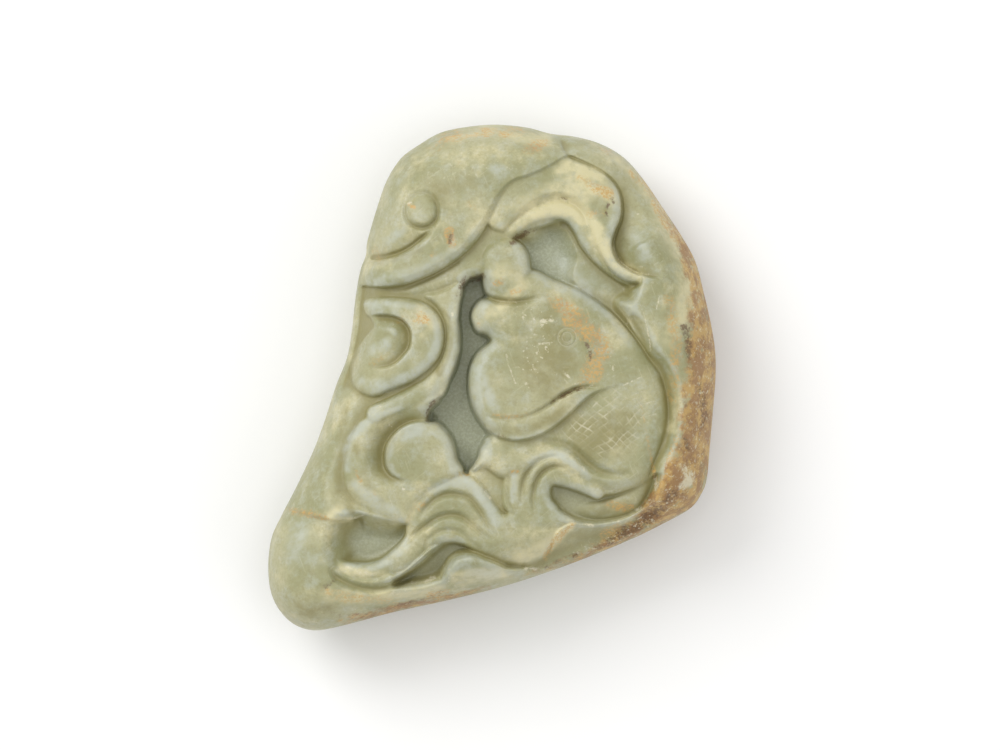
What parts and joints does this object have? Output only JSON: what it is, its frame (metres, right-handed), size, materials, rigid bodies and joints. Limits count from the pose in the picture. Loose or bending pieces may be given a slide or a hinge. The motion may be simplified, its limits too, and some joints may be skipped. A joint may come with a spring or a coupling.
{
  "type": "jade carving",
  "caption": "Palm-sized jade pebble carved in relief on one face with a carp, a fungus cap, scroll waves and a swirling tail.",
  "frame": {"origin": "under the middle of the pebble, on the flat spot of its back where it lies", "axes": "+Z out of the carved face, +Y towards the fungus cap along the pebble's length, +X towards the carp's back"},
  "size_m": [0.056, 0.0634, 0.0198],
  "materials": {
    "jade": "soft polish"
  },
  "bodies": {
    "root": {"jade_carving": "jade"}
  },
  "joints": []
}
